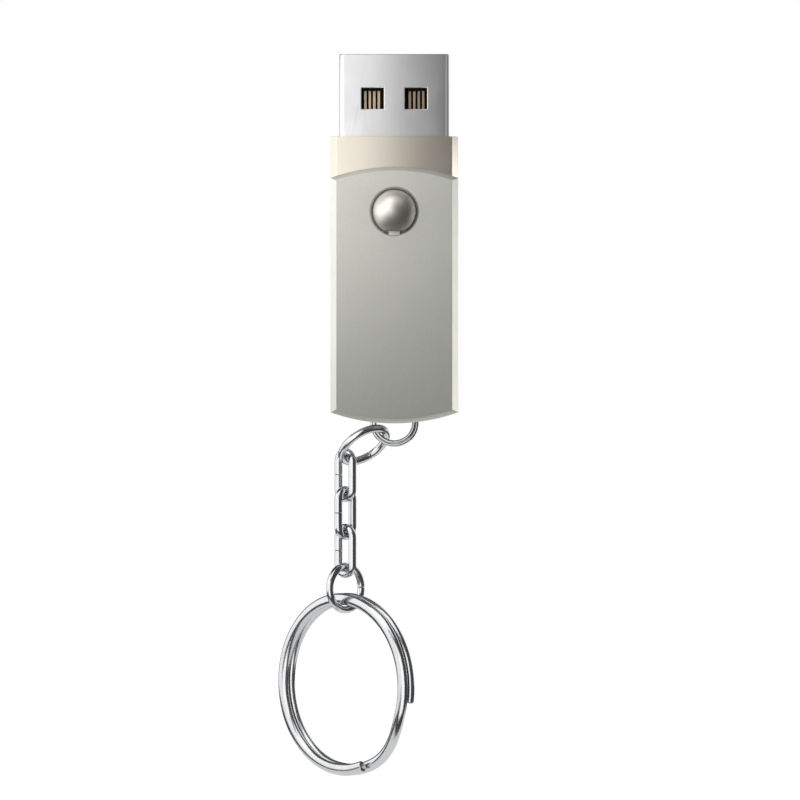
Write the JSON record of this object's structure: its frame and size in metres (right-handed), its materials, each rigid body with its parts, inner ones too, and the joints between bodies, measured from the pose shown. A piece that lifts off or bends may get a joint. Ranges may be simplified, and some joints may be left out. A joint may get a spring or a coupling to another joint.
{
  "type": "usb flash drive",
  "caption": "Metal USB flash drive with a swivel cover that turns about a domed rivet, and a short key chain with a split key ring.",
  "frame": {"origin": "on the swivel axis, halfway through the drive's thickness, at the point pinched by whoever holds it up", "axes": "+Z along the drive towards the plug's mouth; +X to the right as seen from the front; the front, with the domed rivet, faces -Y"},
  "size_m": [0.0198, 0.015, 0.0788],
  "materials": {
    "satin_silver": "satin",
    "polished_steel": "polished",
    "champagne": "satin",
    "nickel_plate": "satin",
    "black_plastic": "matt",
    "gilt": "polished",
    "spring_steel": "satin",
    "board": "satin",
    "chip_epoxy": "matt",
    "capacitor_ceramic": "satin",
    "chrome_wire": "polished"
  },
  "bodies": {
    "cover": {"cover": "satin_silver", "front_rivet": "polished_steel", "back_rivet": "satin_silver", "front_rivet_clip": "spring_steel", "back_rivet_clip": "spring_steel"},
    "core": {"body_front_shell": "champagne", "body_back_shell": "champagne", "plug_shell": "nickel_plate", "plug_tongue": "black_plastic", "contact_1": "gilt", "contact_2": "gilt", "contact_3": "gilt", "contact_4": "gilt", "circuit_board": "board", "flash_chip": "chip_epoxy", "controller_chip": "chip_epoxy", "crystal": "spring_steel", "capacitor_1": "capacitor_ceramic", "capacitor_2": "capacitor_ceramic", "capacitor_3": "capacitor_ceramic", "resistor_1": "chip_epoxy", "resistor_2": "chip_epoxy"},
    "bail": {"bail_ring": "chrome_wire"},
    "upper_ring": {"upper_jump_ring": "chrome_wire"},
    "link_1": {"chain_link_1": "chrome_wire"},
    "link_2": {"chain_link_2": "chrome_wire"},
    "link_3": {"chain_link_3": "chrome_wire"},
    "lower_ring": {"lower_jump_ring": "chrome_wire"},
    "key_ring": {"key_ring": "chrome_wire"}
  },
  "joints": [
    {"name": "swivel", "type": "hinge", "parent": "cover", "child": "core", "pos_m": [0, 0, 0], "axis": [0, 1, 0], "continuous": true},
    {"name": "bail_swing", "type": "hinge", "parent": "cover", "child": "bail", "pos_m": [0, 0, -0.02151], "axis": [1, 0, 0], "range_deg": [-7, 25]},
    {"name": "upper_ring_swing", "type": "hinge", "parent": "bail", "child": "upper_ring", "pos_m": [-0.0016, 0, -0.02461], "axis": [-0.7193, 0, 0.6947], "range_deg": [-78, 10]},
    {"name": "link_1_swing", "type": "hinge", "parent": "upper_ring", "child": "link_1", "pos_m": [-0.00534, 0.00062, -0.0271], "axis": [0.4676, 0.8448, -0.26], "range_deg": [-80, 80]},
    {"name": "link_2_swing", "type": "hinge", "parent": "link_1", "child": "link_2", "pos_m": [-0.00534, 0.00062, -0.03124], "axis": [0.7071, -0.7071, 0], "range_deg": [-80, 80]},
    {"name": "link_3_swing", "type": "hinge", "parent": "link_2", "child": "link_3", "pos_m": [-0.00534, 0.00062, -0.0354], "axis": [0.7071, 0.7071, 0], "range_deg": [-80, 80]},
    {"name": "lower_ring_swing", "type": "hinge", "parent": "link_3", "child": "lower_ring", "pos_m": [-0.00534, 0.00062, -0.03956], "axis": [-0.7071, 0.7071, 0], "range_deg": [-80, 80]},
    {"name": "key_ring_swing", "type": "hinge", "parent": "lower_ring", "child": "key_ring", "pos_m": [-0.00534, 0.00062, -0.04348], "axis": [-0.7071, -0.7071, 0], "range_deg": [-50, 50]}
  ]
}
